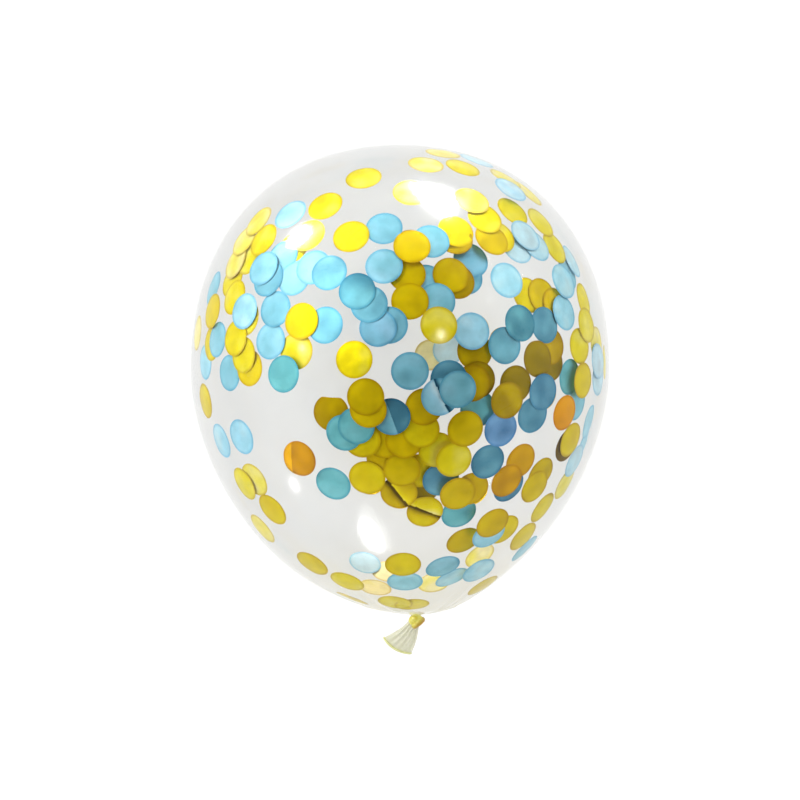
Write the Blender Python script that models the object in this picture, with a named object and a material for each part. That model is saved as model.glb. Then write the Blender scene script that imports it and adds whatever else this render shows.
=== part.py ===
"""A clear round party balloon, blown up, tied off and lying on its side: one moulded latex skin.

The long axis runs along Y, the crown towards +Y and the knot towards -Y. The origin is the middle
of the underside, and Z = 0 is the small flat spot that the balloon rests on. It is modelled solid,
because the tied skin is sealed.
"""

import math

import bmesh
import bpy
from mathutils import Matrix, Vector

# Body, blown up to the size that a 12 inch balloon is sold at
WIDTH = 0.305
CROWN_HEIGHT = 0.164  # from the widest section to the crown
BASE_DEPTH = 0.178  # from the widest section to where the skin meets the neck
CROWN_FULLNESS = 2.2  # exponents of the two half outlines: 2 is an ellipse, more is squarer
BASE_FULLNESS = 1.8
BASE_DRAW = 0.0115  # the skin at the base is drawn this far sideways, to +X
BASE_DRAW_REACH = 12  # exponent: the higher it is, the nearer to the neck the draw stays
FLAT_SPOT_WIDTH = 0.056

# Neck, between the body and the knot
NECK_WIDTH = 0.0070
NECK_FLARE_WIDTH = 0.0180
NECK_FLARE_LENGTH = 0.0060

# Knot, with one turn of the rolled skin lying slantwise over it
KNOT_WIDTH = 0.0108
KNOT_LENGTH = 0.0094
KNOT_DROP = 0.0046  # from the base of the body to the middle of the knot
TURN_WIDTH = 0.0118
TURN_THICKNESS = 0.0048
TURN_SLANT = math.radians(38)
TURN_SHIFT = 0.0017

# Tail, the open mouth of the balloon below the knot, pressed flat and rolled at its lip
TAIL_LENGTH = 0.0215
TAIL_SLANT = math.radians(-36)
TAIL_ROOT_WIDTH = 0.0064
TAIL_ROOT_THICKNESS = 0.0048
MOUTH_WIDTH = 0.0230
MOUTH_THICKNESS = 0.0060
MOUTH_RECESS = 0.0050
LIP_THICKNESS = 0.0020
LIP_BOW = 0.0028  # the middle of the lip stands this much further out than its corners

# Facets
BODY_SEGMENTS = 72
BODY_RINGS = 46
KNOT_SEGMENTS = 28
TURN_FACETS = 14
TAIL_SEGMENTS = 32
TAIL_RINGS = 7
LIP_FACETS = 6
FLARE_RINGS = 6

RADIUS = WIDTH / 2


def clear_scene():
    for obj in list(bpy.data.objects):
        bpy.data.objects.remove(obj, do_unlink=True)


def mesh_object(name, bm):
    """A new object of this mesh, shaded smooth except where it has a real edge."""
    bmesh.ops.recalc_face_normals(bm, faces=bm.faces)
    mesh = bpy.data.meshes.new(name)
    bm.to_mesh(mesh)
    bm.free()
    mesh.shade_smooth()
    mesh.set_sharp_from_angle(angle=math.radians(40))
    obj = bpy.data.objects.new(name, mesh)
    bpy.context.scene.collection.objects.link(obj)
    return obj


def latex():
    """Clear latex: a thin, faintly cream, glossy skin."""
    material = bpy.data.materials.new("clear_latex")
    material.use_nodes = True
    shader = material.node_tree.nodes["Principled BSDF"]
    shader.inputs["Base Color"].default_value = (0.92, 0.91, 0.83, 1)
    shader.inputs["Roughness"].default_value = 0.12
    shader.inputs["Metallic"].default_value = 0
    shader.inputs["Alpha"].default_value = 0.25
    return material


def oval(count, half_x, half_z, y):
    """Points round an oval that faces along Y."""
    turns = [2 * math.pi * i / count for i in range(count)]
    return [Vector((half_x * math.cos(turn), y, half_z * math.sin(turn))) for turn in turns]


def through_rings(name, rings, is_hoop=False):
    """A closed solid through rings of equally many points. A hoop comes round to its first ring."""
    bm = bmesh.new()
    loops = [[bm.verts.new(point) for point in ring] for ring in rings]
    pairs = list(zip(loops, loops[1:]))
    if is_hoop:
        pairs.append((loops[-1], loops[0]))
    else:
        bm.faces.new(loops[0])
        bm.faces.new(reversed(loops[-1]))
    for here, there in pairs:
        for i in range(len(here)):
            j = (i + 1) % len(here)
            bm.faces.new((here[i], here[j], there[j], there[i]))
    return mesh_object(name, bm)


def skin_distance(elevation):
    """From the middle of the widest section to the skin, this angle towards the crown or the base."""
    length = CROWN_HEIGHT if elevation > 0 else BASE_DEPTH
    fullness = CROWN_FULLNESS if elevation > 0 else BASE_FULLNESS
    across = abs(math.cos(elevation)) / RADIUS
    along = abs(math.sin(elevation)) / length
    return (across**fullness + along**fullness) ** (-1 / fullness)


def side_draw(y):
    """How far the body's middle line lies to +X at this place along it."""
    return BASE_DRAW * max(0, -y / BASE_DEPTH) ** BASE_DRAW_REACH


def build_body():
    """The blown-up skin: a ball whose crown and base follow the two half outlines, cut flat below."""
    bm = bmesh.new()
    poles_along_y = Matrix.Rotation(math.radians(-90), 4, "X")
    bmesh.ops.create_uvsphere(
        bm, u_segments=BODY_SEGMENTS, v_segments=BODY_RINGS, radius=1, matrix=poles_along_y
    )
    for vert in bm.verts:
        elevation = math.asin(max(-1, min(1, vert.co.y)))
        vert.co *= skin_distance(elevation)
        vert.co.x += side_draw(vert.co.y)
    half_spot = FLAT_SPOT_WIDTH / 2
    bmesh.ops.bisect_plane(
        bm,
        geom=bm.verts[:] + bm.edges[:] + bm.faces[:],
        plane_co=(0, 0, -math.sqrt(RADIUS**2 - half_spot**2)),
        plane_no=(0, 0, -1),
        clear_outer=True,
    )
    rim = [edge for edge in bm.edges if edge.is_boundary]
    bmesh.ops.edgeloop_fill(bm, edges=rim)
    return mesh_object("latex_balloon", bm)


def build_neck():
    """A short flare of drawn-in skin from inside the base to the middle of the knot."""
    spread = NECK_FLARE_WIDTH - NECK_WIDTH
    rings = []
    for step in range(FLARE_RINGS + 1):
        way = step / FLARE_RINGS
        half = (NECK_WIDTH + spread * (1 - way) ** 2) / 2
        rings.append(oval(KNOT_SEGMENTS, half, half, NECK_FLARE_LENGTH * (1 - way)))
    rings.append(oval(KNOT_SEGMENTS, NECK_WIDTH / 2, NECK_WIDTH / 2, -KNOT_DROP))
    return through_rings("neck_form", rings)


def build_knot():
    """The core of the knot: a short barrel across the neck."""
    bm = bmesh.new()
    bmesh.ops.create_uvsphere(bm, u_segments=KNOT_SEGMENTS, v_segments=TURN_FACETS, radius=1)
    for vert in bm.verts:
        vert.co.x *= KNOT_WIDTH / 2
        vert.co.y *= KNOT_LENGTH / 2
        vert.co.z *= KNOT_LENGTH / 2
    knot = mesh_object("knot_form", bm)
    knot.location.y = -KNOT_DROP
    return knot


def build_turn():
    """The turn of rolled skin that crosses the knot from upper right to lower left."""
    half = min(TURN_THICKNESS, 0.45 * TURN_WIDTH) / 2
    middle = TURN_WIDTH / 2 - half
    rings = []
    for i in range(KNOT_SEGMENTS):
        round_the_knot = Matrix.Rotation(2 * math.pi * i / KNOT_SEGMENTS, 3, "Y")
        section = oval(TURN_FACETS, half, half, 0)
        rings.append([round_the_knot @ Vector((p.x + middle, p.z, 0)) for p in section])
    turn = through_rings("turn_form", rings, is_hoop=True)
    turn.rotation_euler.z = TURN_SLANT
    turn.location = (TURN_SHIFT, -KNOT_DROP - TURN_SHIFT, 0)
    return turn


def tail_ring(way, stand=0, drop=0):
    """The tail's wall this share of the way down, standing out and dropping by these lengths.

    It is a flat oval that widens to the mouth, and the middle of the wall bows out as it widens.
    """
    half_width = (TAIL_ROOT_WIDTH + (MOUTH_WIDTH - TAIL_ROOT_WIDTH) * way) / 2 + stand
    half_depth = (TAIL_ROOT_THICKNESS + (MOUTH_THICKNESS - TAIL_ROOT_THICKNESS) * way) / 2 + stand
    ring = oval(TAIL_SEGMENTS, half_width, half_depth, -way * TAIL_LENGTH - drop)
    for point in ring:
        point.y -= LIP_BOW * way * (1 - (point.x / half_width) ** 2)
    return ring


def build_tail():
    """The flattened mouth of the balloon, with its rolled lip and the start of the opening."""
    lip = LIP_THICKNESS / 2
    rings = [tail_ring(step / TAIL_RINGS) for step in range(TAIL_RINGS)]
    for step in range(LIP_FACETS + 1):
        turn = math.pi * step / LIP_FACETS
        rings.append(tail_ring(1, stand=lip * (math.cos(turn) - 0.5), drop=lip * math.sin(turn)))
    floor = max(0.5, 1 - MOUTH_RECESS / TAIL_LENGTH)
    rings.append(tail_ring(floor, stand=-1.5 * lip))
    tail = through_rings("tail_form", rings)
    tail.rotation_euler.z = TAIL_SLANT
    tail.location.y = -KNOT_DROP
    return tail


def join(body, forms):
    """Makes one skin of the body and what is gathered at its base."""
    for form in forms:
        form.location += Vector((side_draw(-BASE_DEPTH), -BASE_DEPTH, 0))
        form.hide_render = True
        form.display_type = "WIRE"
        union = body.modifiers.new(f"join_{form.name}", "BOOLEAN")
        union.operation = "UNION"
        union.solver = "EXACT"
        union.object = form


def stand_on_origin(body, forms):
    """Moves everything so that the origin is the middle of the underside of the whole balloon."""
    bpy.context.view_layer.update()
    whole = body.evaluated_get(bpy.context.evaluated_depsgraph_get())
    corners = [Vector(corner) for corner in whole.bound_box]
    low = Vector(min(corner[i] for corner in corners) for i in range(3))
    high = Vector(max(corner[i] for corner in corners) for i in range(3))
    middle = (low + high) / 2
    for obj in [body, *forms]:
        obj.location -= Vector((middle.x, middle.y, low.z))


def main():
    clear_scene()
    body = build_body()
    body.data.materials.append(latex())
    forms = [build_neck(), build_knot(), build_turn(), build_tail()]
    join(body, forms)
    stand_on_origin(body, forms)


main()
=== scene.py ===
"""Looks of the confetti balloon: clear latex skin, gathered neck, knot and tail, and the foil discs inside.

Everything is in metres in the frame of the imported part. The balloon lies on its side with its crown towards
+Y, and the camera looks straight down on it, so that the picture's right is +X and its top is +Y.
"""

import math
import random

import bmesh
import bpy
from mathutils import Matrix, Vector, noise
from mathutils.bvhtree import BVHTree


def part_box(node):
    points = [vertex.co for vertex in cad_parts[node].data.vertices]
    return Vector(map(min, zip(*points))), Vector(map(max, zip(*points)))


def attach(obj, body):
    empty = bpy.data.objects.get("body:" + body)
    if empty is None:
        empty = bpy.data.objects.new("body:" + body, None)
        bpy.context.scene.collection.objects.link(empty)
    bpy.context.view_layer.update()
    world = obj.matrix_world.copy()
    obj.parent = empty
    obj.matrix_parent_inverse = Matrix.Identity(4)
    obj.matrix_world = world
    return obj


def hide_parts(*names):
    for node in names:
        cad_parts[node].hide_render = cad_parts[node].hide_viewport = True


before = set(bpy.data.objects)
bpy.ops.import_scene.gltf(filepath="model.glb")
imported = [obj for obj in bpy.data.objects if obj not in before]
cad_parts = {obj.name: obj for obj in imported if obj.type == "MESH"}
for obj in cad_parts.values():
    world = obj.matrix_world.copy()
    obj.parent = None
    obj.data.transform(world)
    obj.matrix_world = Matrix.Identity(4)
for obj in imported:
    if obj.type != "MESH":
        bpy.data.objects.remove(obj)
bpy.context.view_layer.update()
low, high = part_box("latex_balloon")

# Outline of the skin, as the solid has it
CROWN_HEIGHT = 0.164  # from the widest section to the crown
BASE_DEPTH = 0.178  # from the widest section to where the skin meets the neck
CROWN_FULLNESS = 2.2  # exponents of the two half outlines: 2 is an ellipse, more is squarer
BASE_FULLNESS = 1.8
BASE_DRAW = 0.0115  # the skin at the base is drawn this far sideways, to +X
BASE_DRAW_REACH = 12  # exponent: the higher it is, the nearer to the neck the draw stays
RADIUS = (high.x - low.x) / 2
MIDDLE = Vector((0, high.y - CROWN_HEIGHT, high.z - RADIUS))  # of the widest section
RIM_SOFTNESS = 0.0004  # how softly the flat spot under the balloon begins
RIM_REACH = 30  # from this many softnesses above the flat spot, the skin isn't pressed at all
SKIN_STEPS = 120
SKIN_SEGMENTS = 192
NECK_STEPS = 6

# Neck, knot and tail, as the solid has them
NECK_WIDTH = 0.0070
NECK_FLARE_WIDTH = 0.0180
NECK_FLARE_LENGTH = 0.0060
KNOT_WIDTH = 0.0108
KNOT_LENGTH = 0.0094
KNOT_DROP = 0.0046  # from the base of the body to the middle of the knot
TURN_WIDTH = 0.0118
TURN_THICKNESS = 0.0048
TURN_SLANT = math.radians(38)
TURN_SHIFT = 0.0017
TAIL_LENGTH = 0.0215
TAIL_SLANT = math.radians(-36)
TAIL_ROOT_WIDTH = 0.0064
TAIL_ROOT_THICKNESS = 0.0048
MOUTH_WIDTH = 0.0230
MOUTH_THICKNESS = 0.0060
LIP_RADIUS = 0.0010
LIP_BOW = 0.0028  # the middle of the lip stands this much further out than its corners
KNOT_PLACE = MIDDLE + Vector((BASE_DRAW, -BASE_DEPTH - KNOT_DROP, 0))

# Fine folds of the gathered latex. A depth is a share of the radius, unless it is said to be a length.
NECK_PLEATS = 17
NECK_PLEAT_DEPTH = 0.07
NECK_PLEAT_REACH = 0.011  # the folds fade this far up the skin
NECK_PLEAT_UNEVENNESS = 3  # scale of the noise round the neck
NECK_PLEAT_WANDER = 5  # radians by which uneven folds are shifted round the neck
NECK_PLEAT_STRENGTH = (0.6, 0.8)  # how deep a fold usually is, and how much uneven folds differ from it
KNOT_CREASES = 7
KNOT_CREASE_DEPTH = 0.045
KNOT_CREASE_TWIST = 2
TURN_CREASES = 3
TURN_CREASE_DEPTH = 0.07
TURN_CREASE_SHIFT = 1.3
KNOT_GRAIN = 0.00022  # edge of the cells in which core and turn grow together
KNOT_SMOOTHING = 4
TAIL_WALL = 0.0003
TAIL_PLEATS = 5
TAIL_PLEAT_DEPTH = 0.0005  # a length
TAIL_PLEAT_FADE = 0.7  # exponent: the lower it is, the nearer to root and lip the pleats stay deep
TAIL_PLEAT_PHASES = (0.6, 2.1)  # of the upper and the lower wall
TAIL_BEND = 0.0013  # the middle of the tail stands this far to its right
TAIL_SKEW = 0.0024  # the left corner of the mouth hangs this much lower than the right one
TAIL_RINGS = 24
TAIL_SEGMENTS = 96
LIP_RINGS = 17
LIP_START = math.radians(-60)  # where the roll of the lip begins, and how far round it goes
LIP_TURN = math.radians(300)
LIP_SWELL = 8  # exponent: the higher it is, the nearer to the lip the wall begins to thicken

# Latex, from thin to thick
CLEAR_THIN = (0.77, 0.773, 0.766)
CLEAR_THICK = (0.72, 0.723, 0.718)
NECK_TINT = (0.73, 0.72, 0.65)
NECK_TINT_START = 0.075  # from the end of the base up the skin
NECK_TINT_END = -0.004
KNOT_THIN = (0.88, 0.86, 0.20)
KNOT_THICK = (0.76, 0.64, 0.05)
# Darker and warmer towards the knot's lower right: partly the colour of the thick turn, partly painted shade
# on the side away from the light
TURN_TINT_AND_SHADE = (0.52, 0.30, 0.005)
TURN_TINT_AND_SHADE_REACH = 0.55 * KNOT_WIDTH
TAIL_THIN = (0.90, 0.89, 0.74)
TAIL_THICK = (0.84, 0.83, 0.63)
LIP_TINT = (0.86, 0.87, 0.40)

# Confetti
DISC_RADIUS = 0.0125
DISC_THICKNESS = 0.00012
SKIN_GAP = 0.0009  # from the skin to the discs that lie right under it
LAYER_GAP = 0.0007  # from one disc to the next one under it
OVERLAP = 1.92  # discs nearer than this many radii lie in different layers
FAR_LAYER = 2  # the first layer of the far discs, so that they clear the bend round the flat spot
LARGEST_LEAN = math.radians(1.6)
PLAIN_RINGS = (0.25, 0.5, 0.7, 0.86, 0.95, 1)  # shares of the radius
PLAIN_SEGMENTS = 32
CREASED_RINGS = tuple((i + 1) / 24 for i in range(24))
CREASED_SEGMENTS = 64
CRINKLE = 0.00022
CRINKLE_SCALE = 120  # per metre
# Painted sheen: the tone wavers over each disc by up to this much, as if the foil mirrored uneven
# surroundings
SHEEN_SPREAD = 0.13
SHEEN_SCALE = 90  # per metre
SHEEN_LAYER = 9  # metres between the noise of the crinkles and that of the sheen
SEED_SPAN = 50  # each disc reads its noise at a place of its own, up to this far off along each axis
TONE_SPREAD = 0.03
WARMTH_SPREAD = 0.06
CREASE_DEPTH = 0.0007
# The painted shade and painted highlight beside a crease: the change of tone and how far it reaches as a
# share of the radius, first the painted shade on the side that turns away from the light, then the painted
# highlight on the other
CREASE_SHADES = {"crease": ((-1.1, 0.16), (0.28, 0.30)), "flap": ((-0.15, 0.60), (0.20, 0.90))}
FOLD_STEEPNESS = 0.3  # how fast a part that is folded over sinks away from its line
HIDDEN_DISCS = 60  # on the far side, behind those that the photograph shows
HIDDEN_REACH = 150  # pixels from the middle of the balloon
HIDDEN_SCATTER = 3  # pixels
HIDDEN_COLOURS = ("gold", "gold", "blue")
PAST_NEAR_SIDE = 0.002  # from the near skin along a ray before the far skin is looked for

# Foil, by the tone of a disc from 0 to 1: painted shade at the dark end, painted highlight at the pale end
GOLD_SHADES = (
    (0.0, (0.12, 0.075, 0.001)),
    (0.3, (0.46, 0.31, 0.001)),
    (0.5, (0.76, 0.56, 0.001)),
    (0.75, (0.92, 0.77, 0.008)),
    (0.87, (0.97, 0.85, 0.13)),
    (1.0, (1.0, 0.90, 0.50)),
)
BLUE_SHADES = (
    (0.0, (0.02, 0.08, 0.14)),
    (0.3, (0.08, 0.27, 0.38)),
    (0.5, (0.22, 0.56, 0.68)),
    (0.75, (0.42, 0.77, 0.94)),
    (0.87, (0.62, 0.88, 0.98)),
    (1.0, (0.58, 0.75, 0.81)),
)
# What multiplies the shade of a disc that is cool or warm, and along its edge; the cool and warm tints are
# partly painted reflection
GOLD_TINTS = {"cool": (0.85, 0.95, 1), "warm": (1.18, 0.66, 0.5), "edge": (0.78, 0.68, 0.5)}
BLUE_TINTS = {"cool": (0.75, 1.0, 0.85), "warm": (1.1, 0.72, 1.25), "edge": (0.55, 0.74, 0.86)}

# How the photograph was taken
PHOTO_SIZE = 800  # pixels
PHOTO_SPAN = 0.5856  # what the photograph's frame spans at the middle of the balloon
PHOTO_STEP = PHOTO_SPAN / PHOTO_SIZE
CAMERA_DISTANCE = 1.45
SENSOR_WIDTH = 0.036
MIDDLE_IN_PHOTO = Vector((400, 371))  # pixels
PHOTO_CENTRE = Vector((PHOTO_SIZE / 2, PHOTO_SIZE / 2))
CAMERA_PLACE = MIDDLE + Vector(
    (
        (PHOTO_CENTRE.x - MIDDLE_IN_PHOTO.x) * PHOTO_STEP,
        (MIDDLE_IN_PHOTO.y - PHOTO_CENTRE.y) * PHOTO_STEP,
        CAMERA_DISTANCE,
    )
)

# Stage and light. A radiance of 1 is white in the picture.
FLOOR_SIZE = 12
FLOOR_GAP = 0.0005  # below the underside of the balloon
FLOOR_ALBEDO = 0.4
FLOOR_GLOW = 0.77
BACKDROP_RADIUS = 11
BACKDROP_GLOW = 1.08
HORIZON_LIGHT = 1.8
ZENITH_LIGHT = 0.25
DARK_CONE_FADE = 0.4  # sine of the height at which the surroundings begin to darken
DARK_CONE = 0.78  # and of the height from which they are dark
LEAN_TO_CROWN = 0.3  # the surroundings are this much brighter towards the crown
LEAN_TO_LEFT = 0.12  # and this much brighter towards the left
KEY_DIRECTION = Vector((-0.55, 0.35, 0.75))  # of the main lamp, from the middle of the balloon
KEY_DISTANCE = 1.2
KEY_SIZE = 0.6
KEY_RADIANCE = 5.5

# Lamps that show as highlights on the skin: the left, upper, right and lower pixel of the photograph
# between which each shows, its distance from the skin and its radiance
GLOSS_LAMPS = {
    "top_softbox": ((416, 177, 454, 216), 1.37, 95),
    "side_softbox": ((289, 226, 311, 248), 1.2, 80),
    "base_softbox": ((361, 516, 381, 551), 0.25, 30),
    "left_spark": ((294, 481, 298, 485), 1.2, 120),
    "middle_spark": ((356, 329, 360, 333), 1.2, 220),
    "right_spark": ((488, 298, 492, 302), 1.2, 220),
    "gold_spark": ((298, 345, 302, 349), 1.2, 700),
    "crown_spark": ((437, 334, 441, 338), 1.2, 120),
    "blue_glint": ((521, 272, 525, 284), 1.2, 50),
}
NEAR_LAMP = 0.5  # a lamp nearer than this shows on the near side of the skin only

scene = bpy.context.scene
scene.view_settings.view_transform = "Standard"
rng = random.Random(12)  # another number deals other tones, tilts and hidden discs


def new_object(name, mesh):
    obj = bpy.data.objects.new(name, mesh)
    scene.collection.objects.link(obj)
    return obj


def shaded(mesh, angle=60):
    """Smooth shading except over edges sharper than this angle."""
    mesh.shade_smooth()
    mesh.set_sharp_from_angle(angle=math.radians(angle))
    return mesh


# Camera


def make_camera():
    data = bpy.data.cameras.new("camera")
    data.sensor_width = 1000 * SENSOR_WIDTH
    data.lens = 1000 * SENSOR_WIDTH * CAMERA_DISTANCE / PHOTO_SPAN
    data.clip_start = 0.05
    data.clip_end = 60
    camera = new_object("camera", data)
    camera.location = CAMERA_PLACE
    scene.camera = camera


def photo_ray(x, y):
    """The direction from the camera through this pixel of the photograph."""
    across = (x - PHOTO_CENTRE.x) * PHOTO_STEP
    up = (PHOTO_CENTRE.y - y) * PHOTO_STEP
    return Vector((across, up, -CAMERA_DISTANCE)).normalized()


# Node helpers


def new_material(name):
    material = bpy.data.materials.new(name)
    material.use_nodes = True
    return material, material.node_tree, material.node_tree.nodes["Principled BSDF"]


def add(tree, kind, **values):
    """A new node with these inputs: a value is set, and a socket is linked. Names use _ for a space."""
    node = tree.nodes.new(kind)
    for name, value in values.items():
        if hasattr(node, name):
            setattr(node, name, value)
            continue
        key = int(name[1:]) if name[1:].isdigit() else name.replace("_", " ")
        if isinstance(value, bpy.types.NodeSocket):
            tree.links.new(value, node.inputs[key])
        else:
            node.inputs[key].default_value = value
    return node


def ramp(tree, factor, *stops):
    """A colour ramp through these (position, colour) stops."""
    node = add(tree, "ShaderNodeValToRGB", Fac=factor)
    elements = node.color_ramp.elements
    while len(elements) < len(stops):
        elements.new(0.5)
    for element, (position, colour) in zip(elements, stops):
        element.position = position
        element.color = (*colour, 1)
    return node.outputs["Color"]


def attribute(tree, name):
    node = tree.nodes.new("ShaderNodeAttribute")
    node.attribute_name = name
    return node.outputs["Fac"]


def calc(tree, operation, first, second):
    """The result of a math node."""
    return add(tree, "ShaderNodeMath", operation=operation, _0=first, _1=second).outputs[0]


def blend(tree, factor, first, second):
    """A mix of two colours, by a factor that is a value or a socket."""
    node = tree.nodes.new("ShaderNodeMix")
    node.data_type = "RGBA"
    for socket, value in ((node.inputs[0], factor), (node.inputs[6], first), (node.inputs[7], second)):
        if isinstance(value, bpy.types.NodeSocket):
            tree.links.new(value, socket)
        else:
            socket.default_value = value if socket == node.inputs[0] else (*value, 1)
    return node.outputs[2]


def times(tree, first, second):
    """The product of two colours."""
    product = tree.nodes.new("ShaderNodeMix")
    product.data_type = "RGBA"
    product.blend_type = "MULTIPLY"
    product.inputs[0].default_value = 1
    tree.links.new(first, product.inputs[6])
    tree.links.new(second, product.inputs[7])
    return product.outputs[2]


# Skin


def skin_distance(elevation):
    """From the middle of the widest section to the skin, this angle towards the crown or the base."""
    length = CROWN_HEIGHT if elevation > 0 else BASE_DEPTH
    fullness = CROWN_FULLNESS if elevation > 0 else BASE_FULLNESS
    across = abs(math.cos(elevation)) / RADIUS
    along = abs(math.sin(elevation)) / length
    return (across**fullness + along**fullness) ** (-1 / fullness)


def side_draw(y):
    """How far the skin's middle line lies to +X at this place along it."""
    return BASE_DRAW * min(1, max(0, -y / BASE_DEPTH)) ** BASE_DRAW_REACH


def neck_radius(y):
    """The neck's radius at this place along the balloon."""
    way = min(1, max(0, 1 - (y + BASE_DEPTH) / NECK_FLARE_LENGTH))
    return (NECK_WIDTH + (NECK_FLARE_WIDTH - NECK_WIDTH) * (1 - way) ** 2) / 2


def skin_profile(steps):
    """(place along the balloon, radius) from the crown down to the neck's end inside the knot."""
    profile = []
    for step in range(steps + 1):
        share = step / steps
        elevation = math.pi / 2 - math.pi * share
        distance = skin_distance(elevation)
        along = distance * math.sin(elevation)
        radius = distance * max(0, math.cos(elevation))
        if along < NECK_FLARE_LENGTH - BASE_DEPTH:
            radius = math.hypot(radius, neck_radius(along))
        profile.append((along, radius))
    for step in range(1, NECK_STEPS + 1):
        profile.append((-BASE_DEPTH - KNOT_DROP * step / NECK_STEPS, NECK_WIDTH / 2))
    return profile


def flattened(z):
    """This height above the balloon's middle, pressed flat where the balloon rests."""
    rest = -MIDDLE.z
    rise = (z - rest) / RIM_SOFTNESS
    if rise > RIM_REACH:
        return z
    return rest + RIM_SOFTNESS * math.log1p(math.exp(rise))


def build_skin():
    """The blown-up skin in one surface from the crown into the knot, with fine folds at its neck."""
    usual, spread = NECK_PLEAT_STRENGTH
    bm = bmesh.new()
    rings = []
    for along, radius in skin_profile(SKIN_STEPS):
        if radius < 1e-6:
            rings.append([bm.verts.new(MIDDLE + Vector((0, along, 0)))])
            continue
        fold = NECK_PLEAT_DEPTH * math.exp(-max(0, along + BASE_DEPTH) / NECK_PLEAT_REACH)
        ring = []
        for i in range(SKIN_SEGMENTS):
            turn = 2 * math.pi * i / SKIN_SEGMENTS
            uneven = noise.noise(NECK_PLEAT_UNEVENNESS * Vector((math.cos(turn), math.sin(turn), 0)))
            pleat = math.sin(NECK_PLEATS * turn + NECK_PLEAT_WANDER * uneven) * (usual + spread * uneven)
            reach = radius * (1 + fold * pleat)
            x = reach * math.cos(turn) + side_draw(along)
            z = flattened(reach * math.sin(turn))
            ring.append(bm.verts.new(MIDDLE + Vector((x, along, z))))
        rings.append(ring)
    for here, there in zip(rings, rings[1:]):
        for i in range(SKIN_SEGMENTS):
            j = (i + 1) % SKIN_SEGMENTS
            if len(here) == 1:
                bm.faces.new((here[0], there[j], there[i]))
            else:
                bm.faces.new((here[i], here[j], there[j], there[i]))
    bm.faces.new(rings[-1])
    bmesh.ops.recalc_face_normals(bm, faces=bm.faces)
    mesh = bpy.data.meshes.new("clear_skin")
    bm.to_mesh(mesh)
    bm.free()
    return new_object("clear_skin", shaded(mesh))


def skin_material():
    """Stretched clear latex. Light passes straight through, and the gloss grows towards the outline."""
    material, tree, shader = new_material("stretched_latex")
    place = add(tree, "ShaderNodeTexCoord").outputs["Object"]
    along = add(tree, "ShaderNodeSeparateXYZ", Vector=place).outputs["Y"]
    near_neck = add(tree, "ShaderNodeMapRange", interpolation_type="SMOOTHSTEP", Value=along)
    near_neck.inputs["From Min"].default_value = MIDDLE.y - BASE_DEPTH + NECK_TINT_START
    near_neck.inputs["From Max"].default_value = MIDDLE.y - BASE_DEPTH + NECK_TINT_END
    cloud = add(tree, "ShaderNodeTexNoise", Vector=place, Scale=22, Detail=3).outputs["Fac"]
    clear = ramp(tree, cloud, (0.3, CLEAR_THICK), (0.7, CLEAR_THIN))
    colour = blend(tree, near_neck.outputs[0], clear, NECK_TINT)
    tree.links.new(colour, shader.inputs["Base Color"])
    ripple = add(tree, "ShaderNodeTexNoise", Vector=place, Scale=9, Detail=2).outputs["Fac"]
    bump = add(tree, "ShaderNodeBump", Strength=0.10, Distance=0.004, Height=ripple).outputs[0]
    tree.links.new(bump, shader.inputs["Coat Normal"])
    shader.inputs["Roughness"].default_value = 0
    shader.inputs["IOR"].default_value = 1.0
    shader.inputs["Transmission Weight"].default_value = 1
    shader.inputs["Coat Weight"].default_value = 1
    shader.inputs["Coat IOR"].default_value = 1.25
    shader.inputs["Coat Roughness"].default_value = 0.13
    return material


# Knot and tail


def through_rings(name, rings, is_hoop=False):
    """A mesh through rings of equally many points. A hoop comes round to its first ring."""
    bm = bmesh.new()
    loops = [[bm.verts.new(point) for point in ring] for ring in rings]
    pairs = list(zip(loops, loops[1:]))
    if is_hoop:
        pairs.append((loops[-1], loops[0]))
    else:
        bm.faces.new(loops[0])
        bm.faces.new(reversed(loops[-1]))
    for here, there in pairs:
        for i in range(len(here)):
            j = (i + 1) % len(here)
            bm.faces.new((here[i], here[j], there[j], there[i]))
    bmesh.ops.recalc_face_normals(bm, faces=bm.faces)
    mesh = bpy.data.meshes.new(name)
    bm.to_mesh(mesh)
    bm.free()
    return new_object(name, shaded(mesh))


def hoop(width, thickness, slant, shift, rings=72, facets=28):
    """A turn of rolled skin that crosses the knot, creased along its length where the skin is bunched."""
    half = thickness / 2
    middle = width / 2 - half
    loops = []
    for i in range(rings):
        turn = 2 * math.pi * i / rings
        round_the_knot = Matrix.Rotation(turn, 3, "Y")
        loop = []
        for k in range(facets):
            facet = 2 * math.pi * k / facets
            wave = math.sin(TURN_CREASES * facet + TURN_CREASE_SHIFT * math.sin(turn))
            reach = half * (1 - TURN_CREASE_DEPTH * max(0, wave) ** 2)
            x = reach * math.cos(facet) + middle
            y = reach * math.sin(facet)
            loop.append(round_the_knot @ Vector((x, y, 0)))
        loops.append(loop)
    turn_form = through_rings("knot_turn", loops, is_hoop=True)
    turn_form.rotation_euler.z = slant
    turn_form.location = KNOT_PLACE + shift
    return turn_form


def build_knot():
    """The knot: a core of bunched skin and the turn across it, grown together."""
    bm = bmesh.new()
    bmesh.ops.create_uvsphere(bm, u_segments=64, v_segments=40, radius=1)
    for vert in bm.verts:
        around = math.atan2(vert.co.z, vert.co.x)
        wave = math.sin(KNOT_CREASES * around + KNOT_CREASE_TWIST * vert.co.y)
        crease = 1 - KNOT_CREASE_DEPTH * max(0, wave) ** 2
        vert.co.x *= KNOT_WIDTH / 2 * crease
        vert.co.y *= KNOT_LENGTH / 2
        vert.co.z *= KNOT_LENGTH / 2 * crease
    mesh = bpy.data.meshes.new("knot")
    bm.to_mesh(mesh)
    bm.free()
    core = new_object("knot", mesh)
    core.location = KNOT_PLACE
    core.rotation_euler.z = TURN_SLANT / 2
    turn_form = hoop(TURN_WIDTH, TURN_THICKNESS, TURN_SLANT, Vector((TURN_SHIFT, -TURN_SHIFT, 0)))
    return joined("knot", [core, turn_form], KNOT_GRAIN, KNOT_SMOOTHING)


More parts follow.
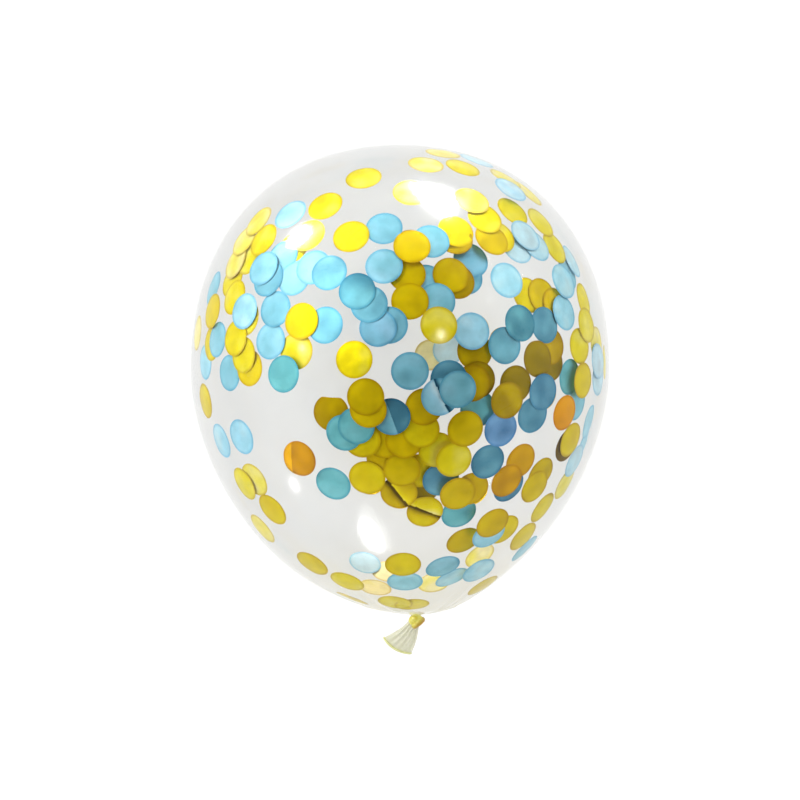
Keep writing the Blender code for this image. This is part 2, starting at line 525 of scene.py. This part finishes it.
def joined(name, parts, voxel, smoothing):
    """One mesh of these overlapping parts, remeshed into one skin and smoothed a little."""
    bpy.context.view_layer.update()
    bm = bmesh.new()
    for part in parts:
        part.data.transform(part.matrix_world)
        bm.from_mesh(part.data)
        bpy.data.objects.remove(part)
    mesh = bpy.data.meshes.new(name)
    bm.to_mesh(mesh)
    bm.free()
    whole = new_object(name, mesh)
    remesh = whole.modifiers.new("one_skin", "REMESH")
    remesh.mode = "VOXEL"
    remesh.voxel_size = voxel
    smooth = whole.modifiers.new("soft_folds", "SMOOTH")
    smooth.iterations = smoothing
    return applied(whole)


def applied(obj):
    """The object with its modifiers made part of its mesh."""
    evaluated = obj.evaluated_get(bpy.context.evaluated_depsgraph_get())
    mesh = bpy.data.meshes.new_from_object(evaluated)
    obj.modifiers.clear()
    obj.data = shaded(mesh)
    return obj


def tail_ring(way, stand=0, drop=0):
    """The tail's wall this share of the way down, standing out and dropping by these lengths."""
    half_width = (TAIL_ROOT_WIDTH + (MOUTH_WIDTH - TAIL_ROOT_WIDTH) * way) / 2 + stand
    half_depth = (TAIL_ROOT_THICKNESS + (MOUTH_THICKNESS - TAIL_ROOT_THICKNESS) * way) / 2 + stand
    bend = TAIL_BEND * math.sin(math.pi * way)
    pleat = TAIL_PLEAT_DEPTH * max(0, math.sin(math.pi * way)) ** TAIL_PLEAT_FADE
    upper, lower = TAIL_PLEAT_PHASES
    ring = []
    for i in range(TAIL_SEGMENTS):
        turn = 2 * math.pi * i / TAIL_SEGMENTS
        across = math.cos(turn)
        phase = upper if turn < math.pi else lower
        fold = pleat * math.sin(TAIL_PLEATS * math.pi * across + phase)
        hang = TAIL_LENGTH + LIP_BOW * (1 - across**2) + TAIL_SKEW * (1 - across) / 2
        x = half_width * across + bend
        z = half_depth * math.sin(turn) + fold * abs(math.sin(turn))
        ring.append(Vector((x, -way * hang - drop, z)))
    return ring


def build_tail():
    """The open mouth below the knot: a thin flattened funnel with its rolled lip."""
    rings = [tail_ring(step / TAIL_RINGS) for step in range(TAIL_RINGS + 1)]
    for step in range(LIP_RINGS):
        turn = LIP_START + LIP_TURN * step / (LIP_RINGS - 1)
        stand = LIP_RADIUS * (math.cos(turn) - math.cos(LIP_START))
        rings.append(tail_ring(1, stand, drop=LIP_RADIUS * math.sin(turn)))
    for step in range(TAIL_RINGS, 1, -1):
        way = step / TAIL_RINGS
        wall = TAIL_WALL + (LIP_RADIUS - TAIL_WALL) * way**LIP_SWELL
        rings.append(tail_ring(way, stand=-wall))
    tail = through_rings("tail", rings)
    on_lip = range(TAIL_SEGMENTS * TAIL_RINGS, TAIL_SEGMENTS * (TAIL_RINGS + 1 + LIP_RINGS))
    rolled = [float(vert.index in on_lip) for vert in tail.data.vertices]
    tail.data.attributes.new("rolled", "FLOAT", "POINT").data.foreach_set("value", rolled)
    tail.rotation_euler.z = TAIL_SLANT
    tail.location = KNOT_PLACE
    return tail


def bunched_latex(name, thin, thick):
    """Latex that isn't stretched, mottled from thin to thick. Gives the material and its mottled colour."""
    material, tree, shader = new_material(name)
    place = add(tree, "ShaderNodeTexCoord").outputs["Object"]
    mottle = add(tree, "ShaderNodeTexNoise", Vector=place, Scale=420, Detail=4).outputs["Fac"]
    rough = add(tree, "ShaderNodeMapRange", Value=mottle, To_Min=0.22, To_Max=0.4).outputs[0]
    tree.links.new(rough, shader.inputs["Roughness"])
    shader.inputs["IOR"].default_value = 1.52
    return material, tree, shader, ramp(tree, mottle, (0.35, thick), (0.65, thin))


def knot_material():
    """Yellow-green latex, darker and warmer towards the knot's lower right, where the turn lies thickest and
    where painted shade falls on the side away from the light.
    """
    material, tree, shader, colour = bunched_latex("knot_latex", KNOT_THIN, KNOT_THICK)
    axes = add(tree, "ShaderNodeSeparateXYZ", Vector=add(tree, "ShaderNodeTexCoord").outputs["Object"])
    # Painted shade mixed with the thick turn's colour, growing towards the lower right
    slant = calc(tree, "SUBTRACT", axes.outputs["X"], axes.outputs["Y"])
    thick = add(tree, "ShaderNodeMapRange", interpolation_type="SMOOTHSTEP", Value=slant).outputs[0]
    centre = KNOT_PLACE.x - KNOT_PLACE.y
    thick.node.inputs["From Min"].default_value = centre
    thick.node.inputs["From Max"].default_value = centre + TURN_TINT_AND_SHADE_REACH
    tree.links.new(blend(tree, thick, colour, TURN_TINT_AND_SHADE), shader.inputs["Base Color"])
    shader.inputs["Alpha"].default_value = 0.9
    return material


def tail_material():
    """Thin milky latex, yellow-green along the rolled lip."""
    material, tree, shader, colour = bunched_latex("tail_latex", TAIL_THIN, TAIL_THICK)
    lip = blend(tree, attribute(tree, "rolled"), colour, LIP_TINT)
    tree.links.new(lip, shader.inputs["Base Color"])
    shader.inputs["Alpha"].default_value = 0.5
    return material


# Confetti


def wall_tree(skin, gap):
    """The inner side of the skin, this far inside it, for finding where a disc lies."""
    mesh = skin.data
    points = [vert.co - vert.normal * gap for vert in mesh.vertices]
    return BVHTree.FromPolygons(points, [face.vertices[:] for face in mesh.polygons])


class Confetti:
    """Foil discs of one colour, gathered in one mesh."""

    def __init__(self, name):
        self.name = name
        self.points = []
        self.faces = []
        self.tone = []
        self.warmth = []
        self.rim = []

    def add_disc(self, place, normal, look, shape=None):
        """A disc that lies here, bowed a little like the skin over it, its X axis close to the world's."""
        across = (Vector((1, 0, 0)) - normal.x * normal).normalized()
        up = normal.cross(across)
        seed = Vector([rng.uniform(0, SEED_SPAN) for _ in range(3)])
        segments, shares = (CREASED_SEGMENTS, CREASED_RINGS) if shape else (PLAIN_SEGMENTS, PLAIN_RINGS)
        angles = [2 * math.pi * i / segments for i in range(segments)]
        spots = [(0, 0)] + [(share, angle) for share in shares for angle in angles]
        first = len(self.points)
        for level in (0, -DISC_THICKNESS):
            for share, angle in spots:
                x = DISC_RADIUS * share * math.cos(angle)
                y = DISC_RADIUS * share * math.sin(angle)
                x, y, height, tone = self.shaped(x, y, seed, shape)
                self.points.append(place + across * x + up * y + normal * (level + height))
                self.tone.append(look[0] + tone)
                self.warmth.append(look[1])
                self.rim.append(share)
        per_side = 1 + len(shares) * segments
        for back in (0, 1):
            start = first + back * per_side
            for i in range(segments):
                j = (i + 1) % segments
                self.face(back, start, start + 1 + i, start + 1 + j)
                for k in range(len(shares) - 1):
                    inner = start + 1 + k * segments
                    outer = inner + segments
                    self.face(back, inner + i, outer + i, outer + j, inner + j)
        edge = first + 1 + (len(shares) - 1) * segments
        for i in range(segments):
            j = (i + 1) % segments
            self.faces.append((edge + i, edge + i + per_side, edge + j + per_side, edge + j))

    def face(self, back, *corners):
        """A face of the disc's front, or of its back, which faces the other way."""
        self.faces.append(corners[::-1] if back else corners)

    def shaped(self, x, y, seed, shape):
        """This point of a flat disc once it is bowed and crinkled: x, y, height and a change of tone, which
        is painted sheen and, beside a crease, painted shade and painted highlight.
        """
        height = -(x * x + y * y) / (2 * RADIUS)
        height += CRINKLE * noise.noise(seed + Vector((x, y, 0)) * CRINKLE_SCALE)
        # Painted sheen over the disc
        tone = SHEEN_SPREAD * noise.noise(seed + Vector((x, y, SHEEN_LAYER)) * SHEEN_SCALE)
        if shape is None:
            return x, y, height, tone
        kind, degrees, start = shape
        toward = Vector((math.cos(math.radians(degrees)), math.sin(math.radians(degrees))))
        beyond = toward.dot((x, y)) - start * DISC_RADIUS
        if kind == "fold" and beyond > 0:
            height -= FOLD_STEEPNESS * beyond
            x -= 2 * beyond * toward.x
            y -= 2 * beyond * toward.y
        # Painted shade on one side of the crease and painted highlight on the other
        if kind in CREASE_SHADES:
            change, reach = CREASE_SHADES[kind][beyond > 0]
            near = math.exp(-abs(beyond) / (reach * DISC_RADIUS))
            height -= CREASE_DEPTH * near
            tone += change * near
        return x, y, height, tone

    def build(self, material):
        """The discs as one object, with what its material reads of each disc."""
        mesh = bpy.data.meshes.new(self.name)
        mesh.from_pydata(self.points, [], self.faces)
        for name, values in (("tone", self.tone), ("warmth", self.warmth), ("rim", self.rim)):
            mesh.attributes.new(name, "FLOAT", "POINT").data.foreach_set("value", values)
        mesh.materials.append(material)
        return new_object(self.name, shaded(mesh, 50))


# Tone from 0, dark, to 1, bright, and warmth from 0, towards green, to 1, towards red. The tone is painted
# light and shade on top of a little random tone: each disc is made as bright or dark as the light on it
# looks, and pale and ghost paint the discs that highlights and the skin's haze wash out. The warmth is partly
# painted reflection, tints that the foil mirrors from the discs round it.
LOOKS = {
    "dark": (0.12, 0.5),
    "dim": (0.33, 0.5),
    "muted": (0.42, 0.45),
    "sea": (0.36, 0.3),
    "plain": (0.5, 0.5),
    "light": (0.62, 0.45),
    "bright": (0.76, 0.4),
    "pale": (0.87, 0.45),
    "ghost": (1.0, 0.5),
    "olive": (0.2, 0.25),
    "amber": (0.42, 0.8),
    "orange": (0.5, 1.0),
    "teal": (0.5, 0.1),
    "violet": (0.38, 0.75),
}

# Discs on the near side of the skin, as the photograph shows them: the colour, the middle in pixels, and the
# look, which paints the light and shade on the disc, where it isn't plain. A disc that lies over others is
# listed before them. A creased or folded one also gives where its bright side or its folded part points, in
# degrees, and how far out along that the line is, as a share of the radius.
LEFT_SHOULDER = (
    ("gold", 325, 205.5, "bright"),
    ("blue", 290, 214, "bright"),
    ("gold", 308, 235, "pale"),
    ("gold", 263, 239.5, "bright"),
    ("gold", 258, 221, "pale"),
    ("gold", 244, 240, "pale"),
    ("gold", 235, 262, "pale"),
    ("blue", 263, 268, "light"),
    ("blue", 268, 279),
    ("blue", 329, 272.5),
    ("blue", 313, 267, "light"),
    ("blue", 294, 278, "light"),
    ("blue", 282, 257, "light"),
    ("gold", 293, 247, "bright"),
    ("gold", 250, 258, "bright"),
    ("gold", 301, 321, "light"),
    ("blue", 244, 311, "bright"),
    ("blue", 275, 309),
    ("blue", 270, 341, "light"),
    ("gold", 234, 297, "bright"),
    ("gold", 232, 280, "bright"),
    ("gold", 235, 338, "bright"),
    ("gold", 246, 318, "bright"),
    ("gold", 243, 355, "bright"),
    ("gold", 249, 368, "light"),
    ("blue", 213, 288, "light"),
    ("gold", 212, 311, "light"),
    ("blue", 217, 339.5, "light"),
    ("gold", 211.5, 343, "light"),
    ("blue", 201, 317, "pale"),
    ("blue", 205, 362, "bright"),
    ("blue", 229, 373, "light"),
    ("gold", 197, 333, "pale"),
)
CROWN = (
    ("gold", 363.5, 177.5, "bright"),
    ("gold", 351, 236, "bright"),
    ("gold", 412, 246),
    ("blue", 384, 228),
    ("gold", 411, 192, "pale"),
    ("blue", 384, 266, "light"),
    ("blue", 283, 374, "teal"),
    ("gold", 296, 351, "bright"),
    ("blue", 325, 325, "muted"),
    ("blue", 357, 291, "sea"),
    ("blue", 369, 304),
    ("blue", 378, 328),
    ("blue", 389, 325),
    ("gold", 354, 359.5, "bright"),
    ("gold", 410, 301),
    ("gold", 407, 274),
    ("blue", 410, 371),
)
RIGHT_SHOULDER = (
    ("gold", 426, 164, "pale"),
    ("gold", 443, 153, "pale"),
    ("gold", 463, 167, "bright"),
    ("blue", 477, 160, "pale"),
    ("blue", 511, 189, "pale"),
    ("gold", 506, 178, "pale"),
    ("gold", 529, 193, "pale"),
    ("gold", 472, 200, "pale"),
    ("gold", 485, 218, "bright"),
    ("gold", 492, 239),
    ("gold", 499, 236, "bright"),
    ("blue", 431, 241),
    ("gold", 456, 231, "light"),
    ("gold", 455, 238, "dim"),
    ("blue", 526, 235, "pale"),
    ("blue", 536, 245, "pale"),
    ("blue", 517, 247, "pale"),
    ("gold", 513, 211, "bright"),
    ("gold", 541, 222, "bright"),
    ("gold", 555, 247, "bright"),
    ("gold", 439, 325, "bright"),
    ("blue", 437, 301),
    ("gold", 451, 275, "muted"),
    ("blue", 426, 282),
    ("gold", 457, 281, "dim"),
    ("blue", 471, 260),
    ("blue", 465, 277),
    ("blue", 472, 331, "bright"),
    ("blue", 507, 280, "bright"),
    ("blue", 572, 261, "pale"),
    ("blue", 568, 272, "light"),
    ("blue", 564, 281, "bright"),
    ("gold", 579, 256, "pale"),
    ("blue", 565, 234, "pale"),
    ("gold", 549, 211, "pale"),
)
RIGHT_SIDE = (
    ("blue", 564.5, 312.5, "bright"),
    ("blue", 520.5, 323, "sea"),
    ("blue", 545, 325, "muted"),
    ("gold", 556, 305),
    ("gold", 542.5, 295.5),
    ("gold", 528, 295, "light"),
    ("blue", 505, 345.5, "muted"),
    ("gold", 587, 325, "bright"),
    ("gold", 584, 300, "bright"),
    ("gold", 580, 346, "bright"),
    ("blue", 598.5, 361, "pale"),
    ("blue", 598.5, 378, "pale"),
    ("gold", 597, 344, "pale"),
    ("gold", 605, 362, "pale"),
    ("blue", 543.5, 392, "dim"),
    ("blue", 533, 415, "dim"),
    ("gold", 538, 359, "olive"),
    ("gold", 552, 346, "dim"),
    ("gold", 551, 363, "olive"),
    ("gold", 583.5, 380.5, "light"),
    ("blue", 570, 377, "teal"),
    ("gold", 565, 413, "orange"),
    ("blue", 577, 403, "light"),
    ("gold", 571, 440, "light"),
    ("gold", 567, 445, "dark"),
    ("blue", 589, 422, "bright"),
    ("blue", 583, 446, "bright"),
    ("blue", 575, 461, "pale"),
    ("gold", 592, 441, "pale"),
    ("gold", 565, 484, "pale"),
)
HEART = (
    ("gold", 365.5, 397),
    ("gold", 368, 409.5),
    ("blue", 391.5, 417, "dim", ("flap", 197, 0.0)),
    ("blue", 356, 426, "teal"),
    ("blue", 344, 433, "teal"),
    ("gold", 331, 413, "dim", ("fold", 90, 0.85)),
    ("gold", 299, 459, "amber", ("flap", 182, 0.5)),
    ("blue", 458, 389.5, "plain"),
    ("blue", 440, 397, "light", ("crease", 205, -0.08)),
    ("blue", 449, 379, "dim"),
    ("gold", 424, 407),
    ("gold", 473, 383, "dim"),
    ("gold", 478, 380, "olive"),
    ("gold", 475, 351, "dim"),
    ("gold", 421, 430, "light"),
    ("gold", 404, 441),
    ("gold", 362, 440, "light"),
    ("gold", 384, 441),
    ("gold", 465.5, 429),
    ("gold", 507.5, 400.5, "dim"),
    ("gold", 516, 384, "olive"),
    ("blue", 501, 429, "violet"),
    ("blue", 478, 409, "teal"),
    ("blue", 488, 462, "dim"),
    ("gold", 454, 460, "bright"),
    ("gold", 437, 450, "bright"),
    ("gold", 458, 494),
    ("gold", 471.5, 489),
    ("blue", 441, 480, "dim"),
    ("gold", 402, 470),
    ("gold", 367, 478, "light"),
    ("gold", 399, 493, "plain", ("crease", 34, -0.06)),
    ("gold", 425, 512, "light", ("crease", 61, 0.05)),
    ("gold", 385, 458, "plain"),
    ("gold", 420, 471),
    ("gold", 421, 488, "olive"),
    ("gold", 507, 481, "amber"),
    ("gold", 521, 461, "amber"),
    ("blue", 509, 486, "dim"),
    ("gold", 535, 487),
    ("gold", 541, 474),
    ("gold", 543, 508, "light"),
    ("blue", 459, 513, "teal"),
)
BASE = (
    ("gold", 493, 523.5),
    ("blue", 489, 535, "bright"),
    ("gold", 504, 530, "light"),
    ("gold", 463.5, 541),
    ("gold", 523.5, 537, "light"),
    ("blue", 525, 549, "light"),
    ("blue", 443, 567, "light"),
    ("blue", 479, 571, "bright"),
    ("blue", 452, 578, "bright"),
    ("gold", 483, 586, "light"),
    ("gold", 403, 565, "light"),
    ("blue", 405, 582, "bright"),
    ("gold", 395, 603, "bright"),
    ("gold", 412, 605, "bright"),
    ("gold", 347, 582, "bright"),
    ("gold", 352, 599, "light"),
    ("gold", 312, 564, "light"),
)
LEFT_SIDE = (
    ("gold", 205, 401, "light"),
    ("blue", 221, 441, "bright"),
    ("blue", 241, 437, "bright"),
    ("blue", 333, 484, "teal"),
    ("gold", 244, 484, "bright"),
    ("gold", 254, 480, "pale"),
    ("gold", 272, 510, "light"),
    ("gold", 262, 529, "pale"),
)
DRIFTS = (LEFT_SHOULDER, CROWN, RIGHT_SHOULDER, RIGHT_SIDE, HEART, BASE, LEFT_SIDE)

# Discs on the far side that show through as pale ghosts
FAR_GHOSTS = (
    ("gold", 430, 355, "ghost"),
    ("gold", 388, 572, "ghost"),
    ("gold", 375, 588, "ghost"),
    ("gold", 434, 583, "ghost"),
    ("gold", 480, 556, "ghost"),
    ("blue", 448, 350, "ghost"),
    ("blue", 365, 563, "ghost"),
)


class Layers:
    """Keeps the discs that overlap apart, each below those laid before it."""

    def __init__(self, skin):
        self.skin = skin
        self.walls = {}
        self.laid = []

    def wall(self, layer):
        """The surface on which the discs of this layer lie."""
        if layer not in self.walls:
            self.walls[layer] = wall_tree(self.skin, SKIN_GAP + layer * LAYER_GAP)
        return self.walls[layer]

    def spot(self, x, y, layer, far):
        """The place under the skin at this pixel of the photograph, and the skin's outward normal there."""
        ray = photo_ray(x, y)
        place, normal, _, _ = self.wall(layer).ray_cast(CAMERA_PLACE, ray)
        if place and far:
            place, normal, _, _ = self.wall(layer).ray_cast(place + PAST_NEAR_SIDE * ray, ray)
        if place and normal.dot(place - MIDDLE) < 0:
            normal = -normal
        return place, normal

    def lowest(self, x, y, far):
        """The same in the first layer that is free of discs here, or None off the balloon."""
        layer = FAR_LAYER if far else 0
        while True:
            place, normal = self.spot(x, y, layer, far)
            if place is None:
                return None
            reach = OVERLAP * DISC_RADIUS
            over = [taken for other, taken in self.laid if (other - place).length < reach]
            free = 1 + max(over, default=-1)
            if layer >= free:
                self.laid.append((place, layer))
                return place, normal
            layer = free


def lay_disc(kinds, layers, colour, x, y, look="plain", shape=None, far=False):
    """Lays a disc at this pixel, if the balloon is there, with a little chance in its tones and tilt."""
    found = layers.lowest(x, y, far)
    if found is None:
        return
    place, normal = found
    tone, warmth = LOOKS[look]
    tone += rng.uniform(-TONE_SPREAD, TONE_SPREAD)
    warmth += rng.uniform(-WARMTH_SPREAD, WARMTH_SPREAD)
    lean = Vector([rng.uniform(-1, 1) for _ in range(3)])
    normal = (normal + math.tan(LARGEST_LEAN) * lean.cross(normal)).normalized()
    kinds[colour].add_disc(place, normal, (tone, warmth), shape)


def build_confetti(skin):
    """The discs of the photograph, and more of them out of sight behind the drifts."""
    kinds = {"gold": Confetti("gold_discs"), "blue": Confetti("blue_discs")}
    layers = Layers(skin)
    for drift in DRIFTS:
        for disc in drift:
            lay_disc(kinds, layers, *disc)
    for disc in FAR_GHOSTS:
        lay_disc(kinds, layers, *disc, far=True)
    places = [Vector(disc[1:3]) for drift in DRIFTS for disc in drift]
    near = [place for place in places if (place - MIDDLE_IN_PHOTO).length < HIDDEN_REACH]
    for place in rng.sample(near, HIDDEN_DISCS):
        x = place.x + rng.uniform(-HIDDEN_SCATTER, HIDDEN_SCATTER)
        y = place.y + rng.uniform(-HIDDEN_SCATTER, HIDDEN_SCATTER)
        lay_disc(kinds, layers, rng.choice(HIDDEN_COLOURS), x, y, far=True)
    return kinds


def foil(name, shades, cool, warm, edge):
    """Satin foil. Each disc has its own tone and tint, which paint the light, shade and reflections on it, a
    darker rim and a faint uneven sheen, painted into the colour and also varied in the roughness.
    """
    material, tree, shader = new_material(name)
    place = add(tree, "ShaderNodeTexCoord").outputs["Object"]
    base = ramp(tree, attribute(tree, "tone"), *shades)
    tint = ramp(tree, attribute(tree, "warmth"), (0, cool), (0.5, (1, 1, 1)), (1, warm))
    sheen = add(tree, "ShaderNodeTexNoise", Vector=place, Scale=160, Detail=3).outputs["Fac"]
    # Painted sheen: the colour dims in patches, as the foil's reflection would; the same noise also varies
    # the roughness
    uneven = ramp(tree, sheen, (0.3, (0.86, 0.86, 0.86)), (0.7, (1, 1, 1)))
    rim = ramp(tree, attribute(tree, "rim"), (0.82, (1, 1, 1)), (0.97, edge))
    for factor in (tint, uneven, rim):
        base = times(tree, base, factor)
    tree.links.new(base, shader.inputs["Base Color"])
    rough = add(tree, "ShaderNodeMapRange", Value=sheen, To_Min=0.32, To_Max=0.46).outputs[0]
    tree.links.new(rough, shader.inputs["Roughness"])
    grain = add(tree, "ShaderNodeTexNoise", Vector=place, Scale=900, Detail=2).outputs["Fac"]
    bump = add(tree, "ShaderNodeBump", Strength=0.15, Distance=0.0003, Height=grain).outputs[0]
    tree.links.new(bump, shader.inputs["Normal"])
    shader.inputs["Metallic"].default_value = 0.45
    shader.inputs["Specular IOR Level"].default_value = 0
    return material


# Stage


def make_floor():
    """A plain pale floor with a glow of its own, so that it stays white under the balloon."""
    bm = bmesh.new()
    bmesh.ops.create_grid(bm, x_segments=1, y_segments=1, size=FLOOR_SIZE)
    mesh = bpy.data.meshes.new("floor")
    bm.to_mesh(mesh)
    bm.free()
    floor = new_object("floor", mesh)
    floor.location.z = -FLOOR_GAP
    material, tree, shader = new_material("pale_floor")
    shader.inputs["Base Color"].default_value = (FLOOR_ALBEDO, FLOOR_ALBEDO, FLOOR_ALBEDO, 1)
    shader.inputs["Roughness"].default_value = 0.9
    shader.inputs["Specular IOR Level"].default_value = 0
    shader.inputs["Emission Color"].default_value = (1, 1, 1, 1)
    shader.inputs["Emission Strength"].default_value = FLOOR_GLOW
    mesh.materials.append(material)
    return floor


def make_backdrop():
    """A plain pale dome, as bright as the floor, that shows directly and straight through the skin only."""
    bm = bmesh.new()
    bmesh.ops.create_uvsphere(bm, u_segments=64, v_segments=32, radius=BACKDROP_RADIUS)
    mesh = bpy.data.meshes.new("backdrop")
    bm.to_mesh(mesh)
    bm.free()
    backdrop = new_object("backdrop", mesh)
    backdrop.visible_shadow = False
    backdrop.visible_diffuse = False
    backdrop.visible_glossy = False
    material, tree, shader = new_material("pale_backdrop")
    shader.inputs["Base Color"].default_value = (0, 0, 0, 1)
    shader.inputs["Specular IOR Level"].default_value = 0
    shader.inputs["Emission Color"].default_value = (1, 1, 1, 1)
    shader.inputs["Emission Strength"].default_value = BACKDROP_GLOW
    # Clear to a ray that something matt or glossy has turned aside, so that it meets the surroundings
    path = tree.nodes.new("ShaderNodeLightPath")
    turned = calc(tree, "ADD", path.outputs["Diffuse Depth"], path.outputs["Glossy Depth"])
    tree.links.new(calc(tree, "LESS_THAN", turned, 0.5), shader.inputs["Alpha"])
    mesh.materials.append(material)


def make_world():
    """Soft studio surroundings, bright all round and dark overhead."""
    world = bpy.data.worlds.new("studio")
    scene.world = world
    world.use_nodes = True
    tree = world.node_tree
    background = tree.nodes["Background"]
    direction = add(tree, "ShaderNodeTexCoord").outputs["Generated"]
    axes = add(tree, "ShaderNodeSeparateXYZ", Vector=direction)
    overhead = add(tree, "ShaderNodeMapRange", interpolation_type="SMOOTHSTEP", Value=axes.outputs["Z"])
    overhead.inputs["From Min"].default_value = DARK_CONE_FADE
    overhead.inputs["From Max"].default_value = DARK_CONE
    overhead.inputs["To Min"].default_value = HORIZON_LIGHT
    overhead.inputs["To Max"].default_value = ZENITH_LIGHT
    strength = overhead.outputs[0]
    for axis, lean in (("Y", LEAN_TO_CROWN), ("X", -LEAN_TO_LEFT)):
        share = calc(tree, "ADD", calc(tree, "MULTIPLY", axes.outputs[axis], lean), 1.0)
        strength = calc(tree, "MULTIPLY", strength, share)
    tree.links.new(strength, background.inputs["Strength"])
    background.inputs["Color"].default_value = (1, 1, 1, 1)


def linked_to(name, objects, state):
    """A collection that light linking reads: the light goes only to these objects, or to all but them."""
    linked = bpy.data.collections.new(name)
    for obj in objects:
        linked.objects.link(obj)
    for link in linked.collection_objects:
        link.light_linking.link_state = state
    return linked


def area_lamp(name, shape, size, radiance, place, axes):
    """An area lamp of this radiance. The third of its axes points away from what it lights."""
    data = bpy.data.lights.new(name, "AREA")
    data.shape = shape
    data.size, data.size_y = size
    data.energy = radiance * math.pi * size[0] * size[1] * (math.pi / 4 if shape == "ELLIPSE" else 1)
    lamp = new_object(name, data)
    lamp.location = place
    lamp.rotation_euler = Matrix(axes).transposed().to_euler()
    lamp.visible_camera = False
    return lamp


def make_gloss_lamp(name, skin, skin_tree, corners, distance, radiance):
    """A lamp that the camera sees mirrored in the skin between these pixels of the photograph.

    It lights nothing else, and it doesn't show straight through the skin.
    """
    left, top, right, bottom = corners
    middle = ((left + right) / 2, (top + bottom) / 2)

    def mirrored(x, y):
        ray = photo_ray(x, y)
        place, normal, _, _ = skin_tree.ray_cast(CAMERA_PLACE, ray)
        return place, ray - 2 * ray.dot(normal) * normal

    place, away = mirrored(*middle)
    centre = place + distance * away

    def on_lamp(x, y):
        start, direction = mirrored(x, y)
        return start + direction * ((centre - start).dot(away) / direction.dot(away))

    across = on_lamp(right, middle[1]) - on_lamp(left, middle[1])
    up = on_lamp(middle[0], top) - on_lamp(middle[0], bottom)
    x_axis = (across - across.dot(away) * away).normalized()
    axes = (x_axis, away.cross(x_axis), away)
    lamp = area_lamp(name, "ELLIPSE", (across.length, up.length), radiance, centre, axes)
    lamp.visible_transmission = distance > NEAR_LAMP
    lamp.light_linking.receiver_collection = linked_to(name, [skin], "INCLUDE")
    # No light for a ray that has met something matt, or that has crossed the skin without being mirrored
    lamp.data.use_nodes = True
    tree = lamp.data.node_tree
    path = tree.nodes.new("ShaderNodeLightPath").outputs
    unturned = calc(tree, "LESS_THAN", path["Glossy Depth"], 0.5)
    straight = calc(tree, "MULTIPLY", path["Transmission Depth"], unturned)
    unwanted = calc(tree, "ADD", path["Diffuse Depth"], straight)
    tree.links.new(calc(tree, "LESS_THAN", unwanted, 0.5), tree.nodes["Emission"].inputs["Strength"])


def make_key_lamp(skin, floor):
    """The main lamp, to the upper left. It lights the confetti straight through the skin."""
    away = KEY_DIRECTION.normalized()
    x_axis = away.orthogonal().normalized()
    axes = (x_axis, away.cross(x_axis), away)
    size = (KEY_SIZE, KEY_SIZE)
    lamp = area_lamp("key", "RECTANGLE", size, KEY_RADIANCE, MIDDLE + KEY_DISTANCE * away, axes)
    lamp.visible_transmission = False
    lamp.light_linking.receiver_collection = linked_to("all_but_these", [skin, floor], "EXCLUDE")
    lamp.light_linking.blocker_collection = linked_to("all_but_skin", [skin], "EXCLUDE")


make_camera()
make_world()
make_backdrop()
floor = make_floor()

skin = build_skin()
skin.data.materials.append(skin_material())
skin_tree = wall_tree(skin, 0)
make_key_lamp(skin, floor)
for name, (corners, distance, radiance) in GLOSS_LAMPS.items():
    make_gloss_lamp(name, skin, skin_tree, corners, distance, radiance)

knot = build_knot()
knot.data.materials.append(knot_material())
tail = build_tail()
tail.data.materials.append(tail_material())

kinds = build_confetti(skin)
gold = kinds["gold"].build(foil("gold_foil", GOLD_SHADES, **GOLD_TINTS))
blue = kinds["blue"].build(foil("blue_foil", BLUE_SHADES, **BLUE_TINTS))

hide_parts("latex_balloon")
for piece, slot in (
    (skin, "clear_latex"),
    (knot, "clear_latex"),
    (tail, "clear_latex"),
    (gold, "gold_foil"),
    (blue, "blue_foil"),
):
    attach(piece, "root")
